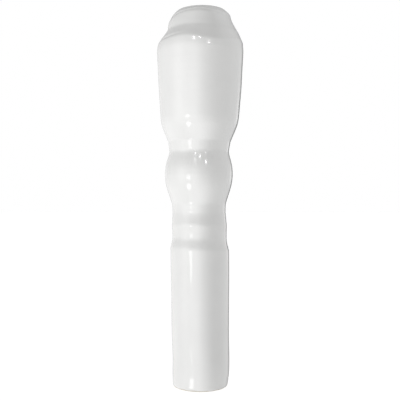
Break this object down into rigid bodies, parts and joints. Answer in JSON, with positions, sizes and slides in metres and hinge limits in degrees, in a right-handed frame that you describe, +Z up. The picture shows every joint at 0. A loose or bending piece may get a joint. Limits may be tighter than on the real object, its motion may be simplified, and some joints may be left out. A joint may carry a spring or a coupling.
{
  "type": "porcelain insulator",
  "caption": "Slender turned porcelain support insulator, white glazed, with a tapped steel insert cemented into each end.",
  "frame": {"origin": "centre of the foot, in the plane that the insulator stands on", "axes": "+Z up along the turned axis, from the foot to the crown; +X and +Y are equivalent, and the inserts' hexagons have corners on X"},
  "size_m": [0.0482, 0.0482, 0.21],
  "materials": {
    "glazed_porcelain": "gloss",
    "zinc_plated_steel": "satin zinc plate",
    "closing_disc": "satin",
    "portland_cement": "matte",
    "cork": "matte",
    "bitumen": "semi-gloss"
  },
  "bodies": {
    "root": {"porcelain_body": "glazed_porcelain", "base_insert": "zinc_plated_steel", "base_insert_plug": "closing_disc", "base_cement": "portland_cement", "base_cushion": "cork", "base_seal": "bitumen", "top_insert": "zinc_plated_steel", "top_insert_plug": "closing_disc", "top_cement": "portland_cement", "top_cushion": "cork", "top_seal": "bitumen"}
  },
  "joints": []
}
